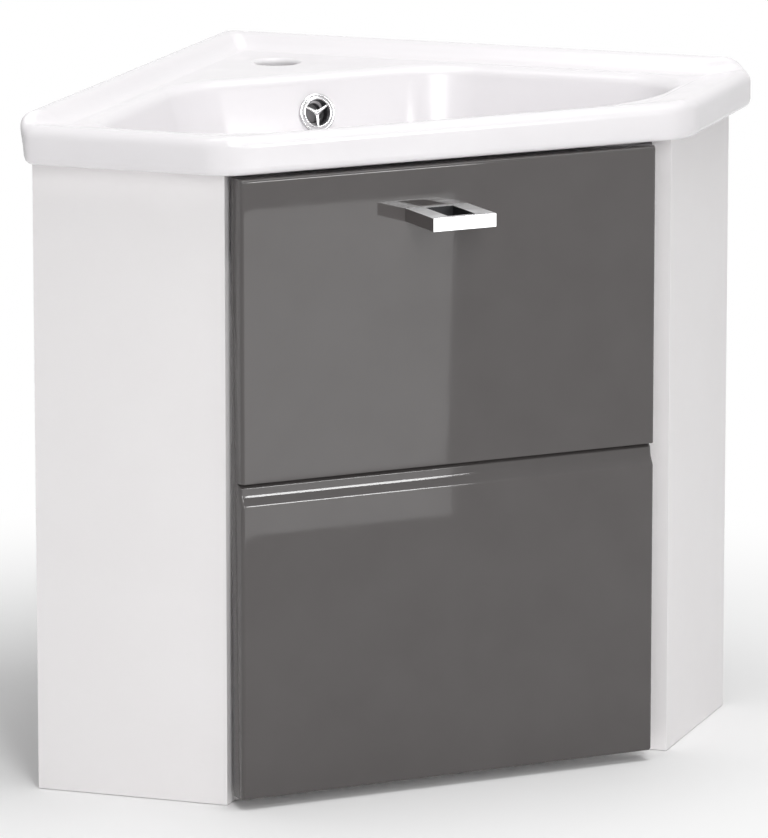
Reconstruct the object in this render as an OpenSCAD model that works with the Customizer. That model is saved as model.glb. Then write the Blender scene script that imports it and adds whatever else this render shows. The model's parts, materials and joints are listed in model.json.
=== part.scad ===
// Corner vanity unit: a ceramic corner basin on a cabinet with one hinged door.
// The door looks toward -Y, the room corner lies toward +Y, and the cabinet stands on z = 0.
// The origin is the middle of the whole unit's box, on the floor.

/* [Cabinet] */
// Width across the front, between the outer front corners of the side panels
front_w = 381; // [370:1:420]
// Width of a side panel, from its front end to the wall
side_w = 156; // [150:1:190]
// Height of the side panels
panel_h = 492; // [485:1:560]
// Thickness of the cabinet boards
board_t = 16; // [15:0.5:18]
// Height of the two upper wall rails
upper_rail_h = 100; // [80:1:140]
// Height of the two lower wall rails
lower_rail_h = 80; // [70:1:120]

/* [Door] */
// Width of the door
door_w = 353; // [330:1:365]
// Thickness of the door
door_t = 18; // [18:0.5:22]
// Height of the door's lower edge above the floor of the cabinet
door_lift = 7.5; // [4:0.5:8]
// Gap between the door's upper edge and the basin
door_top_gap = 2.5; // [2:0.1:8]
// Gap between the door's back and the front corners of the side panels
door_gap = 2; // [1.5:0.1:2.5]
// Distance of the door's hinge edge from the left front corner
door_inset = 4.5; // [4:0.1:6]
// Radius of the door's front edges
door_edge_r = 3; // [1:0.5:4]
// Height of the middle of the finger groove above the door's lower edge
groove_z = 239.5; // [180:0.5:300]
// Height of the finger groove across its mouth
groove_h = 16; // [12:0.5:24]
// Depth of the finger groove
groove_depth = 5; // [3:0.5:6]

/* [Handle] */
// Width of the handle frame
handle_w = 53; // [46:1:70]
// Height of the handle frame
handle_h = 10.4; // [8:0.2:14]
// Distance that the handle stands out from the door
handle_d = 49.5; // [35:0.5:60]
// Width of the handle's two side bars
handle_side = 15; // [12:0.5:18]
// Thickness of the handle's front bar
handle_front = 5.5; // [4:0.5:8]
// Thickness of the handle's back bar
handle_back = 5; // [4:0.5:8]
// Distance of the handle's middle from the door's hinge edge
handle_x = 163.5; // [120:0.5:220]
// Distance of the handle's middle below the door's upper edge
handle_drop = 37; // [25:1:80]

/* [Basin] */
// How far the basin reaches past the outer faces of the side panels
basin_side = 19; // [12:0.5:24]
// How far the basin reaches past the front corners of the side panels
basin_front = 21; // [20:0.5:26]
// How far the basin reaches past the back of the cabinet, on both walls
wall_gap = 7.5; // [4:0.5:12]
// Height of the ledges along the two walls, above the cabinet
ledge_h = 39; // [36:0.5:46]
// Height of the rim along the front and the sides, above the cabinet
rim_h = 30; // [28:0.5:33]
// Height of the tap deck above the cabinet
deck_h = 26; // [24:0.5:27]
// Thickness of the tap deck
deck_t = 12; // [9:0.5:14]
// Radius of the basin's corners in plan
corner_r = 14; // [13:0.5:20]
// Radius of the rim's upper outer edge
rim_r = 9; // [6:0.5:10]
// Radius of the rim's lower outer edge
foot_r = 7; // [4:0.5:9]
// How far the wall sides of the basin lean in at their foot
wall_draft = 6; // [3:0.5:7]
// Distance from the wall side of the basin to the bowl's opening
bowl_wall_in = 43.5; // [40:0.5:60]
// Distance from a short side of the basin to the bowl's opening
bowl_side_in = 47; // [47:0.5:60]
// Distance from the front of the basin to the bowl's opening
bowl_front_in = 36; // [35:0.5:44]
// Distance from the front line of the cabinet to the bowl's back edge
bowl_back = 248; // [235:1:256]
// Depth of the bowl below the deck
bowl_depth = 120; // [110:1:130]
// Thickness of the bowl's wall
shell_t = 9; // [7:0.5:10]
// Radius of the tap hole
tap_hole_r = 17.5; // [16:0.5:18]
// Distance from the front line of the cabinet to the tap hole
tap_y = 319; // [305:1:325]
// Radius of the waste hole
waste_hole_r = 22.5; // [20:0.5:23]
// Distance from the front line of the cabinet to the waste hole
waste_y = 132; // [126:1:138]
// Radius of the overflow hole
overflow_r = 11.5; // [10.5:0.1:12]
// Depth of the overflow hole's middle below the deck
overflow_depth = 30; // [27:0.5:32]
// Outer radius of the overflow ring
ring_r = 15.4; // [14:0.2:17]

/* [Hinges] */
// Radius of the hinge cups
cup_r = 17.5; // [17:0.1:18]
// Depth of the hinge cups in the door
cup_depth = 12; // [11.8:0.1:12.8]
// Distance between a cup's edge and the door's hinge edge
cup_edge = 5; // [4.5:0.1:5.5]
// Distance of a hinge's middle from the door's nearer end
hinge_end = 62; // [50:1:100]
// Radius of the hinge pins
pin_r = 1.5; // [1.4:0.1:1.8]
// Distance of the mounting plates' screws from the side panel's front end
plate_x = 37; // [37:1:45]

/* [Fittings] */
// Radius of the cam locks
cam_r = 7.5; // [6:0.5:9]
// Radius of the bolts that the cam locks pull
bolt_r = 3; // [2.5:0.1:3.5]
// Radius of the wooden dowels
dowel_r = 4; // [3:0.5:5]
// Length of the wooden dowels
dowel_len = 30; // [26:1:34]
// Radius of the small wood screws
screw_r = 1.7; // [1.5:0.1:2]
// Length of the small wood screws
screw_len = 12; // [9:0.5:13]
// Distance of the wall hangers from the room corner, along the wall
hanger_x = 210; // [150:1:300]
// Radius of the hole that lets a wall screw's head into a hanger
hanger_hole_r = 7; // [6:0.5:8]

/* [Hidden] */

$fn = 64;
root2 = sqrt(2);
// Overlap of a cutting form past the face that it cuts
over = 1;
// Radial clearance of a screw, bolt, dowel, cam or sleeve in its hole
fit_gap = 0.1;
// Radial clearance of the hinge arms on their pins
pin_gap = 0.05;
// Sides of the round corners of a hulled form, and height of the flat cones inside it
hull_fn = 32;
cone_h = 1;

// Colours
board_white = [0.93, 0.93, 0.92];
ceramic_white = [0.97, 0.97, 0.98];
door_grey = [0.36, 0.35, 0.35];
steel = [0.62, 0.63, 0.65];
chrome = [0.85, 0.86, 0.88];
beech = [0.8, 0.66, 0.45];

// Cabinet in plan: half of the front, the back corner, and one wall leg
half_front = front_w / 2;
back_y = half_front + side_w * root2;
leg = side_w + half_front * root2;
inner_leg = leg - board_t;
upper_rail_z = panel_h - upper_rail_h;
lower_rail_z = board_t;

// Door: height, x of the hinge edge, y of the back and of the front face
door_h = panel_h - door_lift - door_top_gap;
door_x = door_inset - half_front;
door_back = -door_gap;
door_face = door_back - door_t;
groove_r = (pow(groove_h / 2, 2) + pow(groove_depth, 2)) / (2 * groove_depth);
handle_mid_x = door_x + handle_x;
handle_mid_z = door_lift + door_h - handle_drop;
// The handle's screws lie in the middle of its side bars
handle_pitch = handle_w - handle_side;

// Basin lines in plan: |x| + y on its wall sides, |x| - y on its short sides
wall_line = back_y + wall_gap * root2;
side_line = half_front + basin_side * root2;
basin_tip = wall_line - corner_r * (root2 - 1);
middle_y = (basin_tip + door_face - handle_d) / 2;
deck_z = panel_h + deck_h;

// The ledges' faces stand this far outside the slab that they cap
tuck = 1;
// Slopes from the rim and the ledges to the deck: run for each mm of rise, and the deck's inset
rim_run = 2.5;
rim_in = 2;
ledge_run = 1.55;
ledge_in = 26;
space_r = 12;
space_top = ledge_h - deck_h + 2;
// Hollow under the tap deck
recess_r = 10;

// Bowl: depth and inset of each level, as shares of the bowl's depth
bowl_levels = [[0, 0], [0.38, 0.075], [0.66, 0.18], [0.85, 0.35], [0.95, 0.55], [1, 0.77]];
bowl_r = 20;
bowl_floor_z = deck_z - bowl_depth;
wall_slope = atan2(bowl_levels[1][1], bowl_levels[1][0]);
// Waste: length of its boss below the floor, wall of the boss, and the seat in the floor
waste_len = 34;
waste_wall = 12;
seat_r = 30;
seat_depth = 3;
seat_clear = 12;
// Overflow: its place in the bowl's back wall, and the channel that leads to the waste
overflow_y = bowl_back - overflow_depth * tan(wall_slope);
overflow_z = deck_z - overflow_depth;
channel_r = 8;
channel_wall = 6;
channel_tube_r = channel_r + channel_wall;
channel_y = overflow_y + shell_t + channel_r + channel_wall / 2;
channel_top = deck_z - deck_t / 2;
// Lower run of the channel: its radius, and how far its tube stands above the boss's lower end
run_r = 7;
run_rise = 2;
channel_z = bowl_floor_z - waste_len + run_rise + channel_tube_r;
// Rounded edge of the tap hole, which widens as far as it is deep
tap_lead = 3.8;
// Overflow ring: flange, sleeve, opening and star
ring_t = 3;
ring_bore_r = overflow_r - 1.1;
sleeve_len = 8;
spoke_w = 2;
spoke_t = 1.5;
hub_r = 2.8;

// Hinges: the pin lies this far toward the hinge edge from the cup's middle, this deep in the door
pin_offset = 10;
pin_depth = 7;
pin_len = 22;
cup_x = door_x + cup_edge + cup_r;
pin_x = cup_x - pin_offset;
pin_y = door_back - pin_depth;
upper_hinge_z = door_lift + door_h - hinge_end;
lower_hinge_z = door_lift + hinge_end;
hinge_heights = [upper_hinge_z, lower_hinge_z];
cup_wall = 1.2;
flange_t = 1.2;
flange_rim = 1;
ear_r = 6;
cup_screw_z = cup_r + 7;
cup_screw_x = 6;
boss_w = 6;
knuckle_r = 3;
knuckle_w = 14;
knuckle_gap = 0.2;
// Arm: strap thickness, run of the neck in the cup, rise out of the cup
strap_t = 2.4;
neck_run = 16.5;
neck_rise = 16.3;
// Arm over its plate: width, height, wall, and reach to each side of the plate's screws
arm_w = 16;
arm_h = 9;
arm_wall = 1.4;
arm_reach = 29;
arm_screw_x = 17;
arm_screw_r = 2;
arm_screw_len = 7;
arm_head_r = 4;
// Mounting plate: thickness, half length, wings and the posts that carry the arm
plate_t = 2;
plate_reach = 26;
wing_w = 12;
wing_h = 48;
plate_screw_z = 17;
post_r = 4.5;
arm_top = board_t + plate_t + fit_gap + arm_h;

// Screws: heads, and what a hole is deeper than its screw
screw_head_r = 3.4;
screw_head_h = 1.6;
hole_spare = 0.5;
handle_screw_r = 1.9;
handle_grip = 8;
handle_head_r = 4;
handle_head_h = 2.2;

// Connectors: distance of a cam from its board's end, height and slot of a cam, and depth of a
// bolt and a dowel in the board that carries the other one
cam_reach = 24;
cam_h = 12.5;
cam_slot_w = 1.6;
cam_slot_l = 9;
cam_slot_depth = 2;
bolt_grip = 10;
dowel_grip = 10;
// Distance of the outer dowels from a rail's edges, and places of the bottom panel's connectors
rail_edge_in = 14;
floor_bolt_in = 36;
floor_dowels = [90, 200];

// Wall hangers: plate, keyhole slot and the pocket behind it
hanger_w = 40;
hanger_h = 64;
hanger_t = 2;
hanger_slot_r = 3.2;
hanger_slot_rise = 13;
hanger_screw_z = 26;
pocket_depth = 9;
pocket_rim = 1;

// Places of the connectors on a side panel: distance from the wall, height, turn of the cam
side_bolts = [[board_t / 2, upper_rail_z + upper_rail_h / 2, 0],
              [board_t / 2, lower_rail_z + lower_rail_h / 2, 0],
              [floor_bolt_in, board_t / 2, 90], [side_w - floor_bolt_in, board_t / 2, 90]];
rail_dowels = [upper_rail_z + rail_edge_in, panel_h - rail_edge_in,
               lower_rail_z + rail_edge_in, lower_rail_z + lower_rail_h - rail_edge_in];
side_dowels = concat([for (z = rail_dowels) [board_t / 2, z]], [[side_w / 2, board_t / 2]]);

// Plan places of the basin's corners, for insets from the wall sides, short sides and front
function flip(p, side) = [side * p[0], p[1]];
function both(p) = [p, flip(p, -1)];
function back_corner(wall_in) = [0, wall_line - root2 * wall_in];
function end_corner(wall_in, side_in) =
    let (w = wall_line - root2 * wall_in, s = side_line - root2 * side_in)
    [(w + s) / 2, (w - s) / 2];
function front_corner(side_in, front_in) =
    let (y = front_in - basin_front) [side_line - root2 * side_in + y, y];
function outline(wall_in, side_in, front_in) =
    concat([back_corner(wall_in)], both(end_corner(wall_in, side_in)),
           both(front_corner(side_in, front_in)));

// Plan places of the bowl's six corners, moved in from its opening
function bowl_outline(inset) =
    let (w = bowl_wall_in + inset, s = bowl_side_in + inset, y = bowl_back - inset)
    concat(both([back_corner(w)[1] - y - bowl_r * (root2 - 1), y - bowl_r]),
           both(end_corner(w + bowl_r, s + bowl_r)),
           both(front_corner(s + bowl_r, bowl_front_in + inset + bowl_r)));

// Plan place of a point on the left side panel: along it from its front end, and in from its face
function panel_point(u, v) = [(v - u) / root2 - half_front, (u + v) / root2];

// Moves a part from the cabinet's plan to the frame of the whole unit
module seat() translate([0, -middle_y, 0]) children();

// Frame of a wall: x from the room corner along the wall, y away from the wall
module wall_frame(right) mirror([right ? 1 : 0, 0, 0]) translate([0, back_y, 0]) rotate(225)
    children();

// Frame of the left side panel: x from its front end, y from its outer face into the cabinet
module panel_frame() translate([-half_front, 0, 0]) rotate(135) mirror([0, 1, 0]) children();

// Frame of the door's back: x across, y up, z into the door
module door_frame() translate([0, door_back, 0]) rotate([90, 0, 0]) children();

// Frame of the overflow: z into the bowl's leaning back wall
module overflow_frame() translate([0, overflow_y, overflow_z]) rotate([-90 - wall_slope, 0, 0])
    children();

// Wood screw that holds a plate: z = 0 on the plate, head above and shank below
module wood_screw() {
    cylinder(r1 = screw_head_r, r2 = screw_head_r - screw_head_h / 2, h = screw_head_h);
    translate([0, 0, -screw_len]) cylinder(r = screw_r, h = screw_len);
}
// Hole for it below z = 0, and through a plate that lies there
module screw_hole(plate = 0) translate([0, 0, -screw_len - hole_spare])
    cylinder(r = screw_r + fit_gap, h = screw_len + hole_spare + plate + over);

// Flat cones on a ring of corners, whose points lie inside the form that is hulled over them
module cones(places, r, z, point_down = false) for (p = places)
    translate([p[0], p[1], z]) mirror([0, 0, point_down ? 1 : 0])
        cylinder(r1 = r, r2 = 0, h = cone_h, $fn = hull_fn);

// Slab of the rim, with a rounded foot and a rounded upper edge
module rim_slab() hull() {
    for (a = [0:30:90])
        cones(outline(corner_r + wall_draft + tuck, corner_r, corner_r),
              corner_r - foot_r * (1 - sin(a)), panel_h + foot_r * (1 - cos(a)));
    for (a = [0:22.5:90])
        cones(outline(corner_r + tuck, corner_r, corner_r),
              corner_r - rim_r * (1 - cos(a)), panel_h + rim_h - rim_r * (1 - sin(a)), true);
}

// Ledge along one wall, which stands higher than the rim
module wall_ledge(side) hull() {
    for (a = [0:30:90])
        cones([back_corner(corner_r + wall_draft),
               flip(end_corner(corner_r + wall_draft, corner_r + tuck), side)],
              corner_r - foot_r * (1 - sin(a)), panel_h + tuck + foot_r * (1 - cos(a)));
    for (a = [0:22.5:90])
        cones([back_corner(corner_r), flip(end_corner(corner_r, corner_r + tuck), side)],
              corner_r - rim_r * (1 - cos(a)), panel_h + ledge_h - rim_r * (1 - sin(a)), true);
}

// Space above the deck, inside the slopes of the rim and the ledges
module deck_space() hull() for (rise = [0, space_top])
    cones(outline(ledge_in - ledge_run * rise + space_r,
                  bowl_side_in - rim_in - rim_run * rise + space_r,
                  bowl_front_in - rim_in - rim_run * rise + space_r),
          space_r, deck_z + rise, rise > 0);

// Inside of the bowl, from above the deck to its floor
module bowl_space() hull() {
    cones(bowl_outline(0), bowl_r, deck_z + 2 * over, true);
    for (level = bowl_levels)
        cones(bowl_outline(level[1] * bowl_depth), bowl_r, deck_z - level[0] * bowl_depth);
}

// Outside of the bowl, from within the rim downward
module bowl_shell() hull() {
    cones(bowl_outline(bowl_levels[1][1] * bowl_depth - shell_t), bowl_r,
          panel_h + deck_h / 3, true);
    for (i = [1:len(bowl_levels) - 1])
        cones(bowl_outline(bowl_levels[i][1] * bowl_depth - shell_t), bowl_r,
              deck_z - bowl_levels[i][0] * bowl_depth - shell_t);
}

// Hollow under the tap deck, between the bowl and the wall rails
module deck_recess() hull() {
    corner = back_corner(ledge_in + recess_r);
    front = bowl_back + shell_t + recess_r;
    for (p = concat([corner], both([corner[1] - front, front])))
        translate([p[0], p[1], panel_h - over])
            cylinder(r = recess_r, h = deck_h - deck_t + over, $fn = hull_fn);
}

// Waste boss and overflow channel under the bowl
module basin_plumbing() {
    translate([0, waste_y, bowl_floor_z - waste_len])
        cylinder(r = waste_hole_r + waste_wall, h = waste_len);
    translate([0, channel_y, channel_z - channel_tube_r])
        cylinder(r = channel_tube_r, h = channel_top - channel_z + channel_tube_r);
    translate([0, waste_y, channel_z]) rotate([-90, 0, 0])
        cylinder(r = run_r + channel_wall, h = channel_y - waste_y);
    translate([-channel_r, waste_y, channel_z])
        cube([2 * channel_r, channel_y - waste_y, channel_top - channel_z]);
}

module basin() seat() color(ceramic_white) difference() {
    union() {
        difference() {
            rim_slab();
            deck_recess();
        }
        for (side = [-1, 1]) wall_ledge(side);
        bowl_shell();
        basin_plumbing();
    }
    deck_space();
    bowl_space();
    translate([0, tap_y, panel_h - over]) cylinder(r = tap_hole_r, h = deck_h + 2 * over);
    translate([0, tap_y, deck_z - tap_lead])
        cylinder(r1 = tap_hole_r, r2 = tap_hole_r + tap_lead + over, h = tap_lead + over);
    translate([0, waste_y, bowl_floor_z - waste_len - over])
        cylinder(r = waste_hole_r, h = waste_len + 2 * over);
    translate([0, waste_y, bowl_floor_z - seat_depth]) cylinder(r = seat_r, h = seat_clear);
    overflow_frame() translate([0, 0, -over]) cylinder(r = overflow_r, h = channel_y - overflow_y);
    translate([0, channel_y, channel_z - channel_r])
        cylinder(r = channel_r, h = overflow_z - channel_z + channel_r);
    translate([0, waste_y, channel_z]) rotate([-90, 0, 0])
        cylinder(r = run_r, h = channel_y - waste_y);
}

module overflow_ring() seat() color(chrome) overflow_frame() {
    difference() {
        union() {
            translate([0, 0, -ring_t]) cylinder(r = ring_r, h = ring_t);
            cylinder(r = overflow_r - fit_gap, h = sleeve_len);
        }
        translate([0, 0, -ring_t - over])
            cylinder(r = ring_bore_r, h = ring_t + sleeve_len + 2 * over);
    }
    translate([0, 0, -spoke_t]) {
        cylinder(r = hub_r, h = spoke_t);
        for (a = [90, 210, 330]) rotate(a) translate([0, -spoke_w / 2, 0])
            cube([(ring_bore_r + overflow_r) / 2, spoke_w, spoke_t]);
    }
}

// Frames of the bolts and dowels: z = 0 on the joint's face, +z into the board that butts there
module bolt_frames() {
    for (right = [false, true]) wall_frame(right) for (p = side_bolts)
        translate([inner_leg, p[0], p[1]]) rotate([0, -90, 0]) rotate(p[2]) children();
    wall_frame(true) for (p = [side_bolts[0], side_bolts[1]])
        translate([board_t, p[0], p[1]]) rotate([0, 90, 0]) children();
}
module dowel_frames() {
    for (right = [false, true]) wall_frame(right) {
        for (p = side_dowels) translate([inner_leg, p[0], p[1]]) rotate([0, -90, 0]) children();
        for (x = floor_dowels) translate([x, board_t / 2, lower_rail_z]) children();
    }
    wall_frame(true) for (z = rail_dowels)
        translate([board_t, board_t / 2, z]) rotate([0, 90, 0]) children();
}

// Space of a bolt, of its cam, and of a dowel
module bolt_space() translate([0, 0, -bolt_grip - hole_spare])
    cylinder(r = bolt_r + fit_gap, h = bolt_grip + hole_spare + cam_reach + bolt_r);
module cam_space(gap) translate([0, board_t / 2 + gap, cam_reach]) rotate([90, 0, 0])
    cylinder(r = cam_r + gap, h = cam_h + 2 * gap);
module dowel_space() translate([0, 0, -dowel_grip - hole_spare])
    cylinder(r = dowel_r + fit_gap, h = dowel_len + 2 * hole_spare);
module connector_holes() {
    bolt_frames() bolt_space();
    bolt_frames() cam_space(fit_gap);
    dowel_frames() dowel_space();
}

module cam_locks() seat() color(steel) bolt_frames() difference() {
    cam_space(0);
    bolt_space();
    translate([-cam_slot_l / 2, board_t / 2 - cam_slot_depth, cam_reach - cam_slot_w / 2])
        cube([cam_slot_l, cam_slot_depth + over, cam_slot_w]);
}

module cam_bolts() seat() color(steel) bolt_frames()
    translate([0, 0, -bolt_grip]) cylinder(r = bolt_r, h = bolt_grip + cam_reach);

module dowels() seat() color(beech) dowel_frames() translate([0, 0, -dowel_grip]) {
    cylinder(r1 = dowel_r - over, r2 = dowel_r, h = over);
    translate([0, 0, over]) cylinder(r = dowel_r, h = dowel_len - 2 * over);
    translate([0, 0, dowel_len - over]) cylinder(r1 = dowel_r, r2 = dowel_r - over, h = over);
}

// Frames of the screws of the mounting plates, on the inner face of the left side panel
module plate_screw_frames() panel_frame() for (z = hinge_heights, end = [-1, 1])
    translate([plate_x, board_t, z + end * plate_screw_z]) rotate([-90, 0, 0]) children();

module side_panel(right) seat() color(board_white) difference() {
    wall_frame(right) translate([inner_leg, 0, 0]) cube([board_t, side_w, panel_h]);
    connector_holes();
    if (!right) plate_screw_frames() screw_hole();
}

module bottom_panel() seat() color(board_white) difference() {
    front = board_t / root2;
    back = inner_leg / root2;
    linear_extrude(board_t) polygon([[front - half_front, front], [half_front - front, front],
        [back, back_y - back], [0, back_y], [-back, back_y - back]]);
    connector_holes();
}

// Frame of a wall hanger: +z out of the cabinet toward the wall, +y up
module hanger_frame(right) wall_frame(right)
    translate([hanger_x, 0, upper_rail_z + upper_rail_h / 2]) rotate([90, 0, 0]) children();

// Rail along a wall: the left one runs into the room corner, the right one butts against it
module wall_rail(right, z, height) seat() color(board_white) difference() {
    start = right ? board_t : 0;
    wall_frame(right) translate([start, 0, z]) cube([inner_leg - start, board_t, height]);
    connector_holes();
    if (z == upper_rail_z) hanger_frame(right) {
        for (rise = [0, hanger_slot_rise]) translate([0, rise, -pocket_depth])
            cylinder(r = hanger_hole_r + pocket_rim, h = pocket_depth + over);
        for (end = [-1, 1]) translate([0, end * hanger_screw_z, 0]) screw_hole();
    }
}

// Steel hanger with a keyhole: the round hole takes a screw's head, the slot holds its shank
module wall_hanger(right) seat() color(steel) hanger_frame(right) difference() {
    translate([-hanger_w / 2, -hanger_h / 2, 0]) cube([hanger_w, hanger_h, hanger_t]);
    translate([0, 0, -over]) cylinder(r = hanger_hole_r, h = hanger_t + 2 * over);
    translate([0, hanger_slot_rise, -over]) cylinder(r = hanger_slot_r, h = hanger_t + 2 * over);
    translate([-hanger_slot_r, 0, -over])
        cube([2 * hanger_slot_r, hanger_slot_rise, hanger_t + 2 * over]);
    for (end = [-1, 1]) translate([0, end * hanger_screw_z, 0]) screw_hole(hanger_t);
}

module hanger_screws() seat() color(steel) for (right = [false, true]) hanger_frame(right)
    for (end = [-1, 1]) translate([0, end * hanger_screw_z, hanger_t]) wood_screw();

// Mounting plate of a hinge: strip with two wings, and two posts that carry the arm
module hinge_plate(z) seat() color(steel) difference() {
    panel_frame() translate([plate_x, board_t, z]) rotate([-90, 0, 0]) {
        translate([-plate_reach, -arm_w / 2, 0]) cube([2 * plate_reach, arm_w, plate_t]);
        translate([-wing_w / 2, -wing_h / 2, 0]) cube([wing_w, wing_h, plate_t]);
        for (end = [-1, 1]) translate([end * arm_screw_x, 0, 0])
            cylinder(r = post_r, h = arm_top - board_t - arm_wall - fit_gap);
    }
    plate_screw_frames() screw_hole(plate_t);
    arm_screw_frames() arm_screw_hole();
}

module hinge_plate_screws() seat() color(steel)
    plate_screw_frames() translate([0, 0, plate_t]) wood_screw();

// Frames of the screws that hold the arms on their plates
module arm_screw_frames() panel_frame() for (z = hinge_heights, end = [-1, 1])
    translate([plate_x + end * arm_screw_x, arm_top, z]) rotate([-90, 0, 0]) children();
module arm_screw_hole() translate([0, 0, -arm_screw_len - hole_spare])
    cylinder(r = arm_screw_r + fit_gap, h = arm_screw_len + hole_spare + over);

module hinge_arm_screws() seat() color(steel) arm_screw_frames() {
    cylinder(r = arm_head_r, h = screw_head_h);
    translate([0, 0, -arm_screw_len]) cylinder(r = arm_screw_r, h = arm_screw_len);
}

// Strap between two plan points, with round ends
module strap(from, to) {
    run = to - from;
    translate(from) rotate(atan2(run[1], run[0])) translate([0, -strap_t / 2])
        square([norm(run), strap_t]);
    for (p = [from, to]) translate(p) circle(strap_t / 2);
}

// Cranked arm: knuckle on the pin, goose neck out of the cup, and channel over the plate
module hinge_arm(z) seat() color(steel) {
    pin = [pin_x, pin_y];
    turn = pin + [neck_run, 0];
    crest = pin + [neck_run, neck_rise];
    web = panel_point(plate_x - arm_reach + strap_t / 2, arm_top - strap_t / 2);
    difference() {
        union() {
            translate([0, 0, z - knuckle_w / 2]) linear_extrude(knuckle_w) {
                translate(pin) circle(knuckle_r);
                strap(pin, turn);
                strap(turn, crest);
                strap(crest, web);
            }
            panel_frame() translate([plate_x - arm_reach, arm_top - arm_h, z - arm_w / 2])
                difference() {
                    cube([2 * arm_reach, arm_h, arm_w]);
                    translate([-over, -over, arm_wall])
                        cube([2 * (arm_reach + over), arm_h - arm_wall + over, arm_w - 2 * arm_wall]);
                }
        }
        translate([pin_x, pin_y, z - knuckle_w]) cylinder(r = pin_r + pin_gap, h = 2 * knuckle_w);
        arm_screw_frames() arm_screw_hole();
    }
}

module hinge_pin(z) seat() color(steel)
    translate([pin_x, pin_y, z - pin_len / 2]) cylinder(r = pin_r, h = pin_len);

// Frames of the cup screws and the handle screws: z = 0 on the door's back, +z out of it
module cup_screw_frames() door_frame() for (z = hinge_heights, end = [-1, 1])
    translate([cup_x + cup_screw_x, z + end * cup_screw_z, 0]) rotate([180, 0, 0]) children();
module handle_screw_frames() door_frame() for (end = [-1, 1])
    translate([handle_mid_x + end * handle_pitch / 2, handle_mid_z, 0]) rotate([180, 0, 0])
        children();

// Cup of a hinge: flange with two ears, cup, and bosses that hold the pin
module hinge_cup(z) seat() color(steel) difference() {
    inner_r = cup_r - cup_wall;
    ear_y = cup_screw_z;
    door_frame() translate([cup_x, z, 0]) {
        difference() {
            union() {
                cylinder(r = cup_r, h = cup_depth);
                translate([0, 0, -flange_t]) cylinder(r = cup_r + flange_rim, h = flange_t);
                translate([cup_screw_x - ear_r, -ear_y, -flange_t])
                    cube([2 * ear_r, 2 * ear_y, flange_t]);
                for (end = [-1, 1]) translate([cup_screw_x, end * ear_y, -flange_t])
                    cylinder(r = ear_r, h = flange_t);
            }
            translate([0, 0, -flange_t - over])
                cylinder(r = inner_r, h = flange_t + over + cup_depth - cup_wall);
        }
        for (end = [-1, 1]) intersection() {
            cylinder(r = inner_r + cup_wall / 2, h = cup_depth - cup_wall / 2);
            translate([-pin_offset - boss_w / 2, end * (knuckle_w / 2 + knuckle_gap + cup_r / 2) - cup_r / 2,
                       pin_depth - boss_w / 2]) cube([boss_w, cup_r, cup_depth]);
        }
    }
    translate([pin_x, pin_y, z - pin_len / 2 - fit_gap])
        cylinder(r = pin_r + fit_gap, h = pin_len + 2 * fit_gap);
    cup_screw_frames() screw_hole(flange_t);
}

module hinge_cup_screws() seat() color(steel)
    cup_screw_frames() translate([0, 0, flange_t]) wood_screw();

// Outline of the door with its two front corners rounded: x along it, front at y = -door_t
module soft_front(length, behind) {
    translate([0, door_edge_r - door_t]) square([length, door_t - door_edge_r + behind]);
    translate([door_edge_r, -door_t]) square([length - 2 * door_edge_r, door_t]);
    for (x = [door_edge_r, length - door_edge_r])
        translate([x, door_edge_r - door_t]) circle(door_edge_r);
}

// Door: the same soft outline in plan and from the side, where the finger groove cuts it
module door_panel() seat() color(door_grey) difference() {
    intersection() {
        translate([door_x, door_back, door_lift - over]) linear_extrude(door_h + 2 * over)
            soft_front(door_w, over);
        translate([door_x + door_w + over, door_back, door_lift]) rotate([0, -90, 0])
            linear_extrude(door_w + 2 * over) difference() {
                soft_front(door_h, 0);
                translate([groove_z, groove_depth - groove_r - door_t]) circle(groove_r);
            }
    }
    for (z = hinge_heights) door_frame() translate([cup_x, z, -over])
        cylinder(r = cup_r + fit_gap, h = cup_depth + fit_gap + over);
    cup_screw_frames() screw_hole();
    handle_screw_frames() handle_screw_hole();
}

// Handle: flat square frame that stands straight out of the door
module handle() seat() color(chrome) difference() {
    translate([handle_mid_x - handle_w / 2, door_face - handle_d, handle_mid_z - handle_h / 2])
        cube([handle_w, handle_d, handle_h]);
    translate([handle_mid_x - handle_w / 2 + handle_side, door_face - handle_d + handle_front,
               handle_mid_z - handle_h])
        cube([handle_w - 2 * handle_side, handle_d - handle_front - handle_back, 2 * handle_h]);
    handle_screw_frames() handle_screw_hole();
}
module handle_screw_hole() translate([0, 0, -door_t - handle_grip - hole_spare])
    cylinder(r = handle_screw_r + fit_gap, h = door_t + handle_grip + hole_spare + over);

module handle_screws() seat() color(steel) handle_screw_frames() {
    cylinder(r = handle_head_r, h = handle_head_h);
    translate([0, 0, -door_t - handle_grip])
        cylinder(r = handle_screw_r, h = door_t + handle_grip);
}

basin();
overflow_ring();
side_panel(false);  // side_panel_left
side_panel(true);  // side_panel_right
bottom_panel();
wall_rail(false, upper_rail_z, upper_rail_h);  // upper_wall_rail_left
wall_rail(true, upper_rail_z, upper_rail_h);  // upper_wall_rail_right
wall_rail(false, lower_rail_z, lower_rail_h);  // lower_wall_rail_left
wall_rail(true, lower_rail_z, lower_rail_h);  // lower_wall_rail_right
cam_locks();
cam_bolts();
dowels();
wall_hanger(false);  // wall_hanger_left
wall_hanger(true);  // wall_hanger_right
hanger_screws();
hinge_plate(upper_hinge_z);  // hinge_plate_upper
hinge_plate(lower_hinge_z);  // hinge_plate_lower
hinge_plate_screws();
hinge_arm(upper_hinge_z);  // hinge_arm_upper
hinge_arm(lower_hinge_z);  // hinge_arm_lower
hinge_arm_screws();
door_panel();
handle();
handle_screws();
hinge_cup(upper_hinge_z);  // hinge_cup_upper
hinge_cup(lower_hinge_z);  // hinge_cup_lower
hinge_pin(upper_hinge_z);  // hinge_pin_upper
hinge_pin(lower_hinge_z);  // hinge_pin_lower
hinge_cup_screws();
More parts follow.
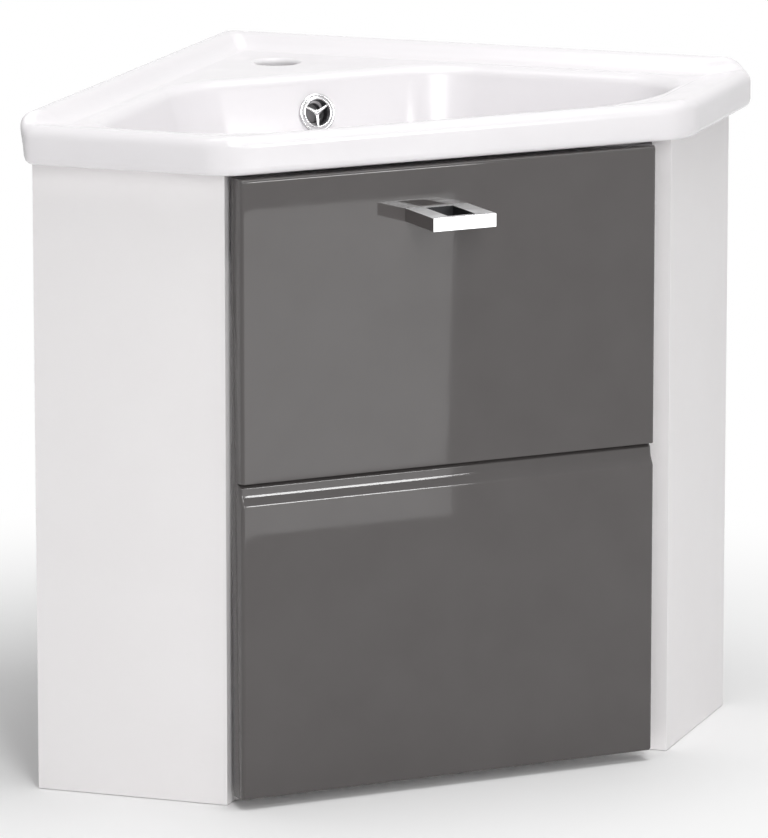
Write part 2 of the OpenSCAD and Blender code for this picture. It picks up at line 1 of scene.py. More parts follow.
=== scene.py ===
import json
import math
import bpy
import bmesh
import numpy as np
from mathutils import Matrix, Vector


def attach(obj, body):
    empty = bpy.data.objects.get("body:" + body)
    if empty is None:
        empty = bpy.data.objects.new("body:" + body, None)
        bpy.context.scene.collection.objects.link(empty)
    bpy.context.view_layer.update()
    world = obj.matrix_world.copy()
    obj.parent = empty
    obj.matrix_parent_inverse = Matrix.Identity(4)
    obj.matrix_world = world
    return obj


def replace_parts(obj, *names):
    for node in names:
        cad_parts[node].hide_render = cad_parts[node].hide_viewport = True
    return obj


# Corner vanity unit. Sizes in the settings of the pieces are millimetres in the cabinet's own plan, where
# y = 0 is the line between the front corners of the sides; the model itself is in metres.
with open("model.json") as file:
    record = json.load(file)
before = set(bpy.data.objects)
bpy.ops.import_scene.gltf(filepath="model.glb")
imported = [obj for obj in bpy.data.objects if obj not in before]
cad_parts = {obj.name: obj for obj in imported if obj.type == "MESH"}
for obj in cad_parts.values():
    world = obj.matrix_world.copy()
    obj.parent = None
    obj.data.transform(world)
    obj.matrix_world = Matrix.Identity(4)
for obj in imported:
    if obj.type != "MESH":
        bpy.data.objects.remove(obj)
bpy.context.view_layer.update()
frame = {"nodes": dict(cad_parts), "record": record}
nodes = frame["nodes"]
planShift = 173.2125                   # y in the plan of the model's y = 0
roundSteps = 96                        # points round a turned piece
noiseRange = (0.3, 0.7)                # most of a noise's values lie between these
root2 = math.sqrt(2)
print("frame:", len(nodes), "solids' nodes loaded")


def toModel(points):
    # millimetres of the plan to metres of the model: y moves back by planShift
    p = np.asarray(points, float)
    return (p - np.array([0, planShift, 0])) / 1000


def gridFaces(rows, cols, wrapRows=False, wrapCols=False, flip=False):
    # four corners of every cell of a grid; a wrapped side joins its last line to its first
    r = np.arange(rows if wrapRows else rows - 1)
    c = np.arange(cols if wrapCols else cols - 1)
    r, c = np.meshgrid(r, c, indexing="ij")
    r2, c2 = (r + 1) % rows, (c + 1) % cols
    quads = np.stack([r * cols + c, r * cols + c2, r2 * cols + c2, r2 * cols + c], -1).reshape(-1, 4)
    return quads[:, ::-1] if flip else quads


def gridPart(grid, **wraps):
    # a grid of points of the plan and its faces, as buildMesh takes them
    return toModel(grid), gridFaces(*grid.shape[:2], **wraps)


def endCaps(rows, cols):
    # the two faces that close a tube of that many rings, each of that many points
    return np.stack([np.arange(cols)[::-1], np.arange(cols) + (rows - 1) * cols])


def buildMesh(name, parts):
    # a part is its points followed by sets of faces; the rows of one set have the same number of corners
    points = np.concatenate([np.asarray(part[0], float).reshape(-1, 3) for part in parts])
    mesh = bpy.data.meshes.new(name)
    corners, sizes, base = [], [], 0
    for part in parts:
        for faces in part[1:]:
            corners.append(np.asarray(faces).reshape(-1) + base)
            sizes.append(np.full(len(faces), np.shape(faces)[1]))
        base += len(np.asarray(part[0]).reshape(-1, 3))
    corners, sizes = np.concatenate(corners), np.concatenate(sizes)
    starts = np.concatenate([[0], np.cumsum(sizes)[:-1]])
    mesh.vertices.add(len(points))
    mesh.vertices.foreach_set("co", points.astype(np.float32).ravel())
    mesh.loops.add(len(corners))
    mesh.loops.foreach_set("vertex_index", corners.astype(np.int32))
    mesh.polygons.add(len(sizes))
    mesh.polygons.foreach_set("loop_start", starts.astype(np.int32))
    mesh.update(calc_edges=True)
    mesh.validate()
    return mesh


def shaded(mesh, angle):
    # smooth shading over every edge that turns by less than the angle
    mesh.polygons.foreach_set("use_smooth", np.ones(len(mesh.polygons), bool))
    mesh.set_sharp_from_angle(angle=math.radians(angle))
    mesh.update()


def addPiece(name, mesh, material, body, angle=40):
    # links the mesh as a piece of the object and lets it ride on its body
    piece = bpy.data.objects.new(name, mesh)
    bpy.context.scene.collection.objects.link(piece)
    mesh.materials.clear()
    mesh.materials.append(material)
    shaded(mesh, angle)
    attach(piece, body)
    return piece


def applied(piece):
    # replaces the piece's mesh by what its modifiers make of it
    made = bpy.data.meshes.new_from_object(piece.evaluated_get(bpy.context.evaluated_depsgraph_get()))
    piece.modifiers.clear()
    piece.data = made


def softened(piece, width):
    # rounds the edges that turn by more than 50 degrees
    edge = piece.modifiers.new("softEdges", "BEVEL")
    edge.width = width / 1000
    edge.segments = 2
    edge.limit_method = "ANGLE"
    edge.angle_limit = math.radians(50)
    edge.harden_normals = True
    edge.use_clamp_overlap = True
    applied(piece)


def outward(mesh):
    # joins doubled corners of a closed mesh and points its faces out
    shape = bmesh.new()
    shape.from_mesh(mesh)
    bmesh.ops.remove_doubles(shape, verts=shape.verts, dist=1e-7)
    bmesh.ops.recalc_face_normals(shape, faces=shape.faces)
    shape.to_mesh(mesh)
    shape.free()
    return mesh


def softCopy(node, name, material, body, width):
    # copy of a solid with its loose triangles joined and its sharp edges rounded
    mesh = nodes[node].data.copy()
    shape = bmesh.new()
    shape.from_mesh(mesh)
    bmesh.ops.remove_doubles(shape, verts=shape.verts, dist=1e-6)
    bmesh.ops.dissolve_limit(shape, angle_limit=math.radians(0.5), verts=shape.verts, edges=shape.edges)
    shape.to_mesh(mesh)
    shape.free()
    for extra in list(mesh.attributes):
        if extra.name in ("custom_normal", "sharp_edge", "sharp_face"):
            mesh.attributes.remove(extra)
    piece = addPiece(name, mesh, material, body)
    softened(piece, width)
    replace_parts(piece, node)


def revolved(profile, place, turn=None, around=roundSteps):
    # profile rows are radius and height; each goes round the z axis, then turn and place carry it over
    profile = np.asarray(profile, float)
    a = np.linspace(0, 2 * math.pi, around, endpoint=False)
    grid = np.stack([profile[:, :1] * np.cos(a), profile[:, :1] * np.sin(a),
                     np.repeat(profile[:, 1:], around, 1)], -1)
    if turn is not None:
        grid = grid @ np.asarray(turn).T
    return grid + np.asarray(place, float)


def bore(piece, radius, start, end, place, turn=None):
    # takes a cylinder along z from start to end, carried over by turn and place, out of the piece
    grid = revolved([(0, start), (radius, start), (radius, end), (0, end)], place, turn, 72)
    drill = bpy.data.objects.new("drill", outward(buildMesh("drill", [gridPart(grid, wrapCols=True)])))
    bpy.context.scene.collection.objects.link(drill)
    cut = piece.modifiers.new("bore", "BOOLEAN")
    cut.operation = "DIFFERENCE"
    cut.solver = "EXACT"
    cut.object = drill
    applied(piece)
    bpy.data.objects.remove(drill)


def newFinish(name, color, roughness, **sockets):
    # a material, its node tree and its shader's sockets
    made = bpy.data.materials.new(name)
    made.use_nodes = True
    inputs = made.node_tree.nodes["Principled BSDF"].inputs
    inputs["Base Color"].default_value = (*color, 1)
    inputs["Roughness"].default_value = roughness
    for socket, value in sockets.items():
        inputs[socket].default_value = value
    return made, made.node_tree, inputs


def noiseOn(tree, scale, detail, stretch=(1, 1, 1)):
    # noise in the object's own coordinates; a share under 1 draws it out along that axis
    place = tree.nodes.new("ShaderNodeTexCoord")
    turn = tree.nodes.new("ShaderNodeMapping")
    turn.inputs["Scale"].default_value = stretch
    noise = tree.nodes.new("ShaderNodeTexNoise")
    noise.inputs["Scale"].default_value = scale
    noise.inputs["Detail"].default_value = detail
    tree.links.new(place.outputs["Object"], turn.inputs["Vector"])
    tree.links.new(turn.outputs["Vector"], noise.inputs["Vector"])
    return noise.outputs["Fac"]


def between(tree, factor, low, high):
    # carries the noise's range over to low..high, two values or two colours
    if isinstance(low, tuple):
        ramp = tree.nodes.new("ShaderNodeValToRGB")
        for element, position, color in zip(ramp.color_ramp.elements, noiseRange, (low, high)):
            element.position = position
            element.color = (*color, 1)
        tree.links.new(factor, ramp.inputs["Fac"])
        return ramp.outputs["Color"]
    reach = tree.nodes.new("ShaderNodeMapRange")
    for socket, value in zip(("From Min", "From Max", "To Min", "To Max"), (*noiseRange, low, high)):
        reach.inputs[socket].default_value = value
    tree.links.new(factor, reach.inputs["Value"])
    return reach.outputs["Result"]


def spread(tree, factor, low, high, target):
    tree.links.new(between(tree, factor, low, high), target)


def ripple(tree, inputs, factor, strength, distance):
    # shallow relief on the surface, distance in millimetres
    bump = tree.nodes.new("ShaderNodeBump")
    bump.inputs["Strength"].default_value = strength
    bump.inputs["Distance"].default_value = distance / 1000
    tree.links.new(factor, bump.inputs["Height"])
    tree.links.new(bump.outputs["Normal"], inputs["Normal"])


def glazeFinish():
    made, tree, inputs = newFinish("ceramicGlaze", (0.825, 0.825, 0.83), 0.09, IOR=1.52)
    inputs["Specular IOR Level"].default_value = 0.4
    spread(tree, noiseOn(tree, 9, 3), (0.82, 0.8, 0.818), (0.834, 0.815, 0.831), inputs["Base Color"])
    spread(tree, noiseOn(tree, 24, 2), 0.18, 0.24, inputs["Roughness"])
    ripple(tree, inputs, noiseOn(tree, 30, 1), 0.25, 0.25)
    return made


def boardFinish():
    made, tree, inputs = newFinish("whiteMelamine", (0.86, 0.855, 0.855), 0.4)
    spread(tree, noiseOn(tree, 14, 4), (0.868, 0.846, 0.85), (0.88, 0.86, 0.864), inputs["Base Color"])
    spread(tree, noiseOn(tree, 60, 3), 0.36, 0.46, inputs["Roughness"])
    ripple(tree, inputs, noiseOn(tree, 900, 3), 0.3, 0.05)
    return made


def doorFinish():
    made, tree, inputs = newFinish("glossDoorFoil", (0.095, 0.09, 0.088), 0.1, IOR=1.5)
    spread(tree, noiseOn(tree, 20, 4), (0.078, 0.0713, 0.0703), (0.085, 0.0783, 0.0773),
           inputs["Base Color"])
    spread(tree, noiseOn(tree, 35, 2), 0.035, 0.065, inputs["Roughness"])
    ripple(tree, inputs, noiseOn(tree, 60, 3, (1, 1, 0.3)), 0.3, 0.1)
    return made


def chromeFinish():
    made, tree, inputs = newFinish("polishedChrome", (0.83, 0.84, 0.85), 0.05, Metallic=1.0)
    spread(tree, noiseOn(tree, 120, 3), 0.04, 0.08, inputs["Roughness"])
    spread(tree, noiseOn(tree, 40, 2), (0.82, 0.83, 0.84), (0.86, 0.865, 0.87), inputs["Base Color"])
    return made


def steelFinish():
    made, tree, inputs = newFinish("nickelPlatedSteel", (0.6, 0.6, 0.61), 0.3, Metallic=1.0)
    spread(tree, noiseOn(tree, 300, 4, (1, 1, 0.15)), (0.52, 0.52, 0.53), (0.66, 0.66, 0.665),
           inputs["Base Color"])
    spread(tree, noiseOn(tree, 500, 3, (1, 1, 0.1)), 0.24, 0.38, inputs["Roughness"])
    return made


def beechFinish():
    made, tree, inputs = newFinish("beechWood", (0.6, 0.43, 0.27), 0.6)
    spread(tree, noiseOn(tree, 700, 5, (1, 1, 0.08)), (0.5, 0.34, 0.2), (0.68, 0.5, 0.33),
           inputs["Base Color"])
    ripple(tree, inputs, noiseOn(tree, 900, 4, (1, 1, 0.1)), 0.4, 0.1)
    return made


finishes = {"ceramic": glazeFinish(), "white_board": boardFinish(), "door_foil": doorFinish(),
            "chrome": chromeFinish(), "steel": steelFinish(), "beech": beechFinish()}
for part in frame["record"]["subparts"]:
    mesh = nodes[part["node"]].data
    mesh.materials.clear()
    mesh.materials.append(finishes[part["material_slot"]])
print("finishes:", len(finishes))


basin = {
    "wallLine": 421.724, "sideLine": 217.37, "frontLine": 21.0,   # |x| + y, |x| - y and -y of its outline
    "centre": 132.0,                   # y of the waste, which every ring goes round
    "around": 720,                     # points round a ring
    "foot": 492.0, "ledgeTop": 531.0, "rimTop": 522.0, "deck": 518.0,
    "cornerRadius": 14.0, "frontCornerRadius": 15.0, "footRadius": 7.0, "topRadius": 9.0,
    "wallDraft": 6.0,                  # how far the wall sides lean in at the foot
    "draftFade": 10.0,                 # over which that lean fades round a corner
    "rampLength": 15.0,                # over which a ledge runs out near its end
    # inner slope of the ledges and, second, of the rim: inset from the outline and height over the deck
    "slopes": (((11, 12.9), (11.5, 3.85)), ((13, 12.2), (14.5, 3.6)), ((15, 10.6), (18, 3.2)),
               ((17, 8.3), (21, 2.75)), ((19, 5.8), (24, 2.3)), ((21, 3.5), (26.5, 1.9)),
               ((23, 1.7), (28.5, 1.55)), ((25.2, 0.5), (30, 1.3)), ((27.5, 0.06), (31, 1.1))),
    "flatInsets": (28.0, 31.3),        # where the slopes end, from the wall and from the side
    "frontShare": 0.82,                # of the rim's insets, at the front
    "bowlInsets": (43.5, 47.0, 36.0),  # of the bowl's mouth, from wall, side and front
    "bowlBack": 248.0, "bowlCorner": 20.0, "bowlFrontCorner": 44.0, "bowlDepth": 120.0,
    "frontBelow": (-0.34, 0.22),       # sine of the direction under which the front radii hold, rim and bowl
    "bowlProfile": ((0, 0), (0.38, 0.075), (0.66, 0.18), (0.85, 0.35), (0.95, 0.55)),   # down and in
    "floorDish": 1.8,                  # power at which the floor falls toward the waste
    "edgeReach": 11.0, "edgeDrop": 12.0,                # of the mouth's rounded edge, outward and down
    "edgeFrontShare": 0.75,            # of that reach, at the front
    "edgeClose": 0.93,                 # of that reach, used up where the edge meets the wall
    "shell": 9.0,
    "recessHeight": 14.0, "recessInset": 26.0, "recessRamps": (8.0, 6.0),   # ramps from bowl and from wall
    "seatRadius": 30.0, "seatEase": 1.2, "wasteRadius": 22.5,
    "bossRadius": 34.5, "bossLength": 34.0, "bossEdge": 1.5,
    # rows of these go out from the radius, and up from the bowl's floor or from the boss's foot
    "seatRows": ((0.5, -0.15), (0.1, -0.6), (0, -1.2), (0, -2.4), (-0.3, -2.85), (-1.2, -3), (-4, -3)),
    "wasteRows": ((1.5, -3), (0.5, -3.2), (0, -3.9), (0, -14), (0, -26)),
    "wasteFootRows": ((0, 1), (0.3, 0.3), (1, 0)),
    "tapY": 319.0, "tapRadius": 17.5, "tapLip": 3.8, "patchRadius": 30.0, "patchRings": (26.0, 23.0),
    "overflowRadius": 11.5, "overflowDepth": 30.0,      # its middle lies that far under the deck
    "channelY": 262.08, "channelLevel": 380.0, "channelBend": 24.0, "channelStraight": 4.0,
    "channelRadius": 14.0, "channelBore": 8.0,
    "overflowBore": (-12.0, 11.0), "channelMouth": (-4.0, 20.0)}    # from and to, into the bowl's back wall


def outlineAngles(b):
    # directions from the centre, spaced evenly along the outer outline
    wall, side, front = b["wallLine"], b["sideLine"], b["frontLine"]
    half = np.array([[0, wall], [(wall + side) / 2, (wall - side) / 2], [side - front, -front]])
    ring = np.concatenate([half, half[:0:-1] * [-1, 1]])
    ring = np.concatenate([ring, ring[:1]])
    run = np.concatenate([[0], np.cumsum(np.linalg.norm(np.diff(ring, axis=0), axis=1))])
    at = np.linspace(0, run[-1], b["around"], endpoint=False)
    x, y = np.interp(at, run, ring[:, 0]), np.interp(at, run, ring[:, 1]) - b["centre"]
    return np.arctan2(y, x)


def ringRadius(b, angles, wallIn, sideIn, frontIn, backY, corner):
    # distance from the centre at which the root of the sum of squares of how far a point lies past each
    # line, moved in by its inset and the corner radius, equals the corner radius; found by halving
    corner = np.broadcast_to(corner, angles.shape)[:, None]
    s = 1 / root2
    normals = np.array([[s, s], [-s, s], [s, -s], [-s, -s], [0, -1], [0, 1]])
    lines = [b["wallLine"] * s - wallIn, b["wallLine"] * s - wallIn, b["sideLine"] * s - sideIn,
             b["sideLine"] * s - sideIn, b["frontLine"] - frontIn, backY]
    lines = np.array(lines) - normals @ [0, b["centre"]] - corner
    along = np.stack([np.cos(angles), np.sin(angles)]).T @ normals.T
    low, high = np.zeros(len(angles)), np.full(len(angles), 600.0)
    for halving in range(44):
        middle = (low + high) / 2
        past = np.maximum(middle[:, None] * along - lines, 0)
        outside = (past ** 2).sum(1) > corner[:, 0] ** 2
        low, high = np.where(outside, low, middle), np.where(outside, middle, high)
    return (low + high) / 2


def smooth(x):
    # 0 below 0, 1 above 1, and a soft S between
    x = np.clip(x, 0, 1)
    return x * x * (3 - 2 * x)


def smoothThrough(known, values, at):
    # curve through the known values whose slope at each is the mean of the slopes beside it
    step = known[1] - known[0]
    slope = np.gradient(values, step) * step
    k = np.clip((at / step).astype(int), 0, len(known) - 2)
    t = (at - known[k]) / step
    value = (2 * t**3 - 3 * t**2 + 1) * values[k] + (3 * t**2 - 2 * t**3) * values[k + 1]
    return value + (t**3 - 2 * t**2 + t) * slope[k] + (t**3 - t**2) * slope[k + 1]


def ledgeShare(b, x, y, inset):
    # 1 along the walls and 0 along the short sides and the front, with a soft ramp near the ends
    fromSide = (b["sideLine"] - np.abs(x) + y) / root2
    return smooth((np.minimum(fromSide, y + b["frontLine"]) - inset) / b["rampLength"])


def basinRings(b):
    # stations from the waste hole's lower edge outward under the basin, up its side, over the rim, down
    # the bowl and back into the waste hole; each is a closed ring of points
    angles = outlineAngles(b)
    cosine, sine = np.cos(angles), np.sin(angles)
    farBack = b["wallLine"] + 20       # past the corner, so that no back line shows
    outerCorner = np.where(sine < b["frontBelow"][0], b["frontCornerRadius"], b["cornerRadius"])
    bowlCorner = np.where(sine < b["frontBelow"][1], b["bowlFrontCorner"], b["bowlCorner"])
    mouthCorner = bowlCorner + 2
    floor = b["deck"] - b["bowlDepth"]
    w, s, f = b["bowlInsets"]
    rings = []

    def spots(radius):
        return cosine * radius, sine * radius + b["centre"]

    def place(radius, z):
        x, y = spots(radius)
        rings.append(np.stack([x, y, np.broadcast_to(z, x.shape)], -1))

    def lineRing(wallIn, sideIn, frontIn, backY, corner):
        return ringRadius(b, angles, wallIn, sideIn, frontIn, backY, corner)

    def bowlRing(inset, corner):
        # parallel to the bowl's mouth
        return lineRing(w + inset, s + inset, f + inset, b["bowlBack"] - inset, corner)

    def outer(inward, rise=None, fromTop=None):
        # ring of the outer side, rise above the foot or fromTop below the top, which is higher at the walls
        radius = lineRing(inward, inward, inward, farBack, outerCorner - 0.9 * min(inward, b["topRadius"]))
        x, y = spots(radius)
        top = b["rimTop"] + (b["ledgeTop"] - b["rimTop"]) * ledgeShare(b, x, y, inward)
        z = top - fromTop if rise is None else b["foot"] + rise
        lean = b["wallDraft"] * (1 - (z - b["foot"]) / (top - b["foot"]))
        fromWall = (b["wallLine"] - np.abs(x) - y) / root2 - inward
        place(radius - lean * smooth(1 - fromWall / b["draftFade"]), z)

    profile = np.array(b["bowlProfile"]) * b["bowlDepth"]
    levels, known = np.linspace(0, 1, 15), np.linspace(0, 1, len(profile))
    depth = smoothThrough(known, profile[:, 0], levels)
    inset = smoothThrough(known, profile[:, 1], levels)
    # waste hole's lower edge and the boss
    bossFoot, bossRadius, edge = floor - b["bossLength"], b["bossRadius"], b["bossEdge"]
    for radius, z in b["wasteFootRows"]:
        place(b["wasteRadius"] + radius, bossFoot + z)
    for a in np.radians([0, 30, 60, 90]):
        place(bossRadius - edge * (1 - np.sin(a)), bossFoot + edge * (1 - np.cos(a)))
    for below in (12, 3):
        place(bossRadius, floor - b["shell"] - below)
    # the bowl's outside, one shell away from its inside
    low = bowlRing(inset[-1] - b["shell"], bowlCorner)
    lowZ = b["deck"] - depth[-1] - b["shell"]
    for t in (0.04, 0.15, 0.35, 0.6, 0.8):
        place(bossRadius * (1 - t) + low * t, floor - b["shell"] + (lowZ - floor + b["shell"]) * t ** 2)
    for k in range(len(levels) - 1, 1, -1):
        z = b["deck"] - depth[k] - b["shell"]
        if z < b["foot"] - 3:
            place(bowlRing(inset[k] - b["shell"], bowlCorner), z)
    # underside of the slab, with the hollow under the tap deck
    footIn = b["footRadius"]
    starts = (w, s, f, b["bowlBack"], bowlCorner)
    goals = (footIn + b["wallDraft"], footIn, footIn, farBack, outerCorner / 2)
    for t in np.linspace(0, 1, 9):
        radius = lineRing(*[start * (1 - t) + goal * t for start, goal in zip(starts, goals)])
        x, y = spots(radius)
        fromWall = (b["wallLine"] - np.abs(x) - y) / root2 - b["recessInset"]
        fromBowl = y - b["bowlBack"] - b["shell"]
        hollow = smooth(fromBowl / b["recessRamps"][0]) * smooth(fromWall / b["recessRamps"][1])
        place(radius, b["foot"] + b["recessHeight"] * hollow)
    # outer side: foot, wall and rounded top
    for a in np.radians([15, 35, 60, 90]):
        outer(footIn * (1 - np.sin(a)), rise=footIn * (1 - np.cos(a)))
    outer(0, fromTop=b["topRadius"] + 6)
    for a in np.radians([0, 15, 30, 45, 60, 75, 90]):
        outer(b["topRadius"] * (1 - np.cos(a)), fromTop=b["topRadius"] * (1 - np.sin(a)))
    # inner slopes of the ledges and of the rim, then the flat deck up to the bowl's rounded edge
    for (wallIn, wallZ), (rimIn, rimZ) in b["slopes"]:
        radius = lineRing(wallIn, rimIn, b["frontShare"] * rimIn, farBack, outerCorner / 2)
        high = ledgeShare(b, *spots(radius), rimIn)
        place(radius, b["deck"] + rimZ * (1 - high) + wallZ * high)
    reach, frontReach = b["edgeReach"], b["edgeReach"] * b["edgeFrontShare"]
    flatWall, flatSide = b["flatInsets"]
    starts = np.array([flatWall, flatSide, flatSide * b["frontShare"]])
    goals = np.array([w - reach, s - reach, f - frontReach])
    for t in np.linspace(0.15, 1, 8):
        wallIn, sideIn, frontIn = starts * (1 - t) + goals * t
        share = (1 - t) ** 1.5
        backY = farBack * share + (b["bowlBack"] + reach) * (1 - share)
        radius = lineRing(wallIn, sideIn, frontIn, backY, outerCorner / 2 * (1 - t) + mouthCorner * t)
        high = ledgeShare(b, *spots(radius), sideIn)
        place(radius, b["deck"] + rimZ * (1 - high) * (1 - smooth(t)))
    # rounded edge, which turns from level into the bowl's wall, and the wall
    steep = math.pi / 2 - math.atan2(inset[1], depth[1])
    for a in np.linspace(0.1, 1, 10) * steep:
        out = reach * (1 - b["edgeClose"] * math.sin(a) / math.sin(steep))
        radius = lineRing(w - out, s - out, f - out * b["edgeFrontShare"], b["bowlBack"] + out,
                          mouthCorner - 0.1 * out)
        place(radius, b["deck"] - b["edgeDrop"] * (1 - math.cos(a)))
    for k in range(len(levels)):
        if depth[k] > b["edgeDrop"] + 2:
            place(bowlRing(inset[k], mouthCorner), b["deck"] - depth[k])
    # floor, waste seat and waste hole
    low, lowZ = bowlRing(inset[-1], mouthCorner), b["deck"] - depth[-1]
    seatRim = b["seatRadius"] + b["seatEase"]
    for t in np.linspace(0.08, 1, 10):
        place(low * (1 - t) + seatRim * t, floor + (lowZ - floor) * (1 - t) ** b["floorDish"])
    for radius, z in b["seatRows"]:
        place(b["seatRadius"] + radius, floor + z)
    for radius, z in b["wasteRows"]:
        place(b["wasteRadius"] + radius, floor + z)
    return np.stack(rings)


def tubeAlong(path, radius, around=48):
    # circle carried along a path of y and z in the plane x = 0, square to the path at every point
    path = np.asarray(path, float)
    ahead = np.gradient(path, axis=0)
    ahead /= np.linalg.norm(ahead, axis=1)[:, None]
    a = np.linspace(0, 2 * math.pi, around, endpoint=False)
    x = np.broadcast_to(radius * np.cos(a), (len(path), around))
    y = path[:, :1] - ahead[:, 1:] * radius * np.sin(a)
    z = path[:, 1:] + ahead[:, :1] * radius * np.sin(a)
    return np.stack([x, y, z], -1)


def makeChannel(b):
    # hollow overflow channel: down behind the bowl, round a quarter circle and forward to the waste boss
    bend, level, y, straight = b["channelBend"], b["channelLevel"], b["channelY"], b["channelStraight"]
    a = np.radians(np.linspace(0, 90, 13))
    top = b["foot"] + b["recessHeight"] - 1            # in the slab, 1 below the hollow's roof
    end = b["centre"] + b["bossRadius"] - 5            # just inside the boss
    down = np.stack([np.full(9, y), np.linspace(top, level + bend + straight, 9)], -1)
    turn = np.stack([y - bend * (1 - np.cos(a)), level + bend * (1 - np.sin(a))], -1)
    run = np.stack([np.linspace(y - bend - straight, end, 9), np.full(9, level)], -1)
    path = np.concatenate([down, turn, run])
    outside, inside = tubeAlong(path, b["channelRadius"]), tubeAlong(path[1:-1], b["channelBore"])
    caps, innerCaps = endCaps(*outside.shape[:2]), endCaps(*inside.shape[:2])[:, ::-1]
    mesh = buildMesh("overflowChannel", [(*gridPart(outside, wrapCols=True), caps),
                                         (*gridPart(inside, wrapCols=True, flip=True), innerCaps)])
    return addPiece("overflowChannel", mesh, finishes["ceramic"], "cabinet")


def overflowFrame(b):
    # middle of the overflow on the bowl's back wall, and its turn: local z into the wall, local y down it
    down, inward = b["bowlProfile"][1]
    slope = math.atan2(inward, down)
    back = b["bowlBack"] - b["overflowDepth"] * math.tan(slope)
    sine, cosine = math.sin(slope), math.cos(slope)
    turn = np.array([[1, 0, 0], [0, -sine, cosine], [0, -cosine, -sine]])
    return (0, back, b["deck"] - b["overflowDepth"]), turn


def makeBasin(b):
    # one closed skin through the rings, bored for the tap's patch and the overflow
    mesh = buildMesh("glazedBasin", [gridPart(basinRings(b), wrapRows=True, wrapCols=True, flip=True)])
    skin = addPiece("glazedBasin", mesh, finishes["ceramic"], "cabinet")
    deck, under, beyond = b["deck"], b["foot"] + b["recessHeight"], 20
    bore(skin, b["patchRadius"], under - beyond, deck + beyond, (0, b["tapY"], 0))
    bore(skin, b["overflowRadius"], *b["overflowBore"], *overflowFrame(b))
    channel = makeChannel(b)
    bore(channel, b["channelBore"], *b["channelMouth"], *overflowFrame(b))
    # tap hole with its soft lip: a ring-shaped patch of the deck that fills its bore
    a = np.radians(np.linspace(0, 90, 9))
    radius, lip = b["tapRadius"], b["tapLip"]
    flat = [(wide, deck) for wide in (b["patchRadius"], *b["patchRings"])]
    edge = np.stack([radius + lip * (1 - np.sin(a)), deck - lip * (1 - np.cos(a))], -1)
    below = [(radius, under + 1), (radius + 1, under), (b["patchRadius"], under)]
    patch = revolved(np.concatenate([flat, edge, below]), (0, b["tapY"], 0))
    mesh = buildMesh("tapHole", [gridPart(patch, wrapRows=True, wrapCols=True)])
    tapHole = addPiece("tapHole", mesh, finishes["ceramic"], "cabinet")
    for made in (skin, tapHole, channel):
        shaded(made.data, 45)
    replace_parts(skin, "basin")


makeBasin(basin)
print("basin: made")


ring = {
    # radius, and height into the wall
    "flange": ((11.25, 0), (14.7, 0), (15.2, -0.25), (15.4, -0.8), (15.25, -1.4), (14.8, -1.85),
               (14.1, -2.0), (13.5, -1.8), (13.1, -1.75), (12.6, -2.25), (12.0, -2.75), (11.4, -3.0),
               (10.85, -2.85), (10.5, -2.4), (10.4, -1.6), (10.4, 8), (11.25, 8)),
    # the throat is a near-black liner in the flange's bore: painted shade deep in the overflow
    "throat": ((10.35, 0.4), (10.35, 9), (7.9, 9.4), (7.9, 13), (7.4, 13), (7.4, 8.9), (9.9, 8.5),
               (9.9, 0.4)),
    "hubRadius": 2.6, "hubHeight": 1.9, "hubSteps": 32,
    "armReach": 10.6, "armWidth": (3.4, 2.0), "armHeight": 1.6, "armAngles": (90, 210, 330),
    "armStations": 8, "armSteps": 16}


def ringFinish():
    made, tree, inputs = newFinish("ringChrome", (0.7, 0.7, 0.71), 0.08, Metallic=1.0)
    spread(tree, noiseOn(tree, 150, 3), 0.06, 0.12, inputs["Roughness"])
    spread(tree, noiseOn(tree, 90, 2), (0.66, 0.66, 0.665), (0.74, 0.74, 0.745), inputs["Base Color"])
    return made


def throatShadeFinish():
    # painted shade: near-black tone for the liner in the overflow's bore
    made, tree, inputs = newFinish("throatPaintedShade", (0.03, 0.03, 0.03), 0.5)
    spread(tree, noiseOn(tree, 200, 3), (0.022, 0.022, 0.024), (0.036, 0.036, 0.038),
           inputs["Base Color"])
    spread(tree, noiseOn(tree, 120, 2), 0.4, 0.6, inputs["Roughness"])
    return made


def makeRing(r, b):
    # flange, throat and domed hub turn about the overflow's axis; each arm of the star is an ellipse
    # carried along a line from the hub, its width going evenly from the first value to the second
    place, turn = overflowFrame(b)
    parts = [gridPart(revolved(r["flange"], place, turn), wrapRows=True, wrapCols=True)]
    a = np.radians(np.linspace(-90, 90, 9))
    dome = np.stack([r["hubRadius"] * np.cos(a), -r["hubHeight"] / 2 * (1 + np.sin(a))], -1)
    parts.append(gridPart(revolved(dome, place, turn, r["hubSteps"]), wrapCols=True))
    stations, steps = r["armStations"], r["armSteps"]
    along = np.linspace(0, r["armReach"], stations)[:, None]
    width = np.interp(along, (0, r["armReach"]), r["armWidth"]) / 2
    around = np.radians(np.linspace(0, 360, steps, endpoint=False))
    across = width * np.cos(around)
    up = -r["armHeight"] / 2 * (1 + np.sin(around)) * np.ones((stations, 1))
    for angle in np.radians(r["armAngles"]):
        cosine, sine = math.cos(angle), math.sin(angle)
        arm = np.stack([along * cosine - across * sine, along * sine + across * cosine, up], -1)
        parts.append((*gridPart(arm @ turn.T + place, wrapCols=True), endCaps(stations, steps)))
    mesh = outward(buildMesh("overflowStar", parts))
    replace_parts(addPiece("overflowStar", mesh, ringFinish(), "cabinet"), "overflow_ring")
    # near-black liner that paints the shade inside the overflow
    throat = gridPart(revolved(r["throat"], place, turn), wrapRows=True, wrapCols=True)
    mesh = outward(buildMesh("overflowThroat", [throat]))
    addPiece("overflowThroat", mesh, throatShadeFinish(), "cabinet")


makeRing(ring, basin)
print("overflow ring: made")


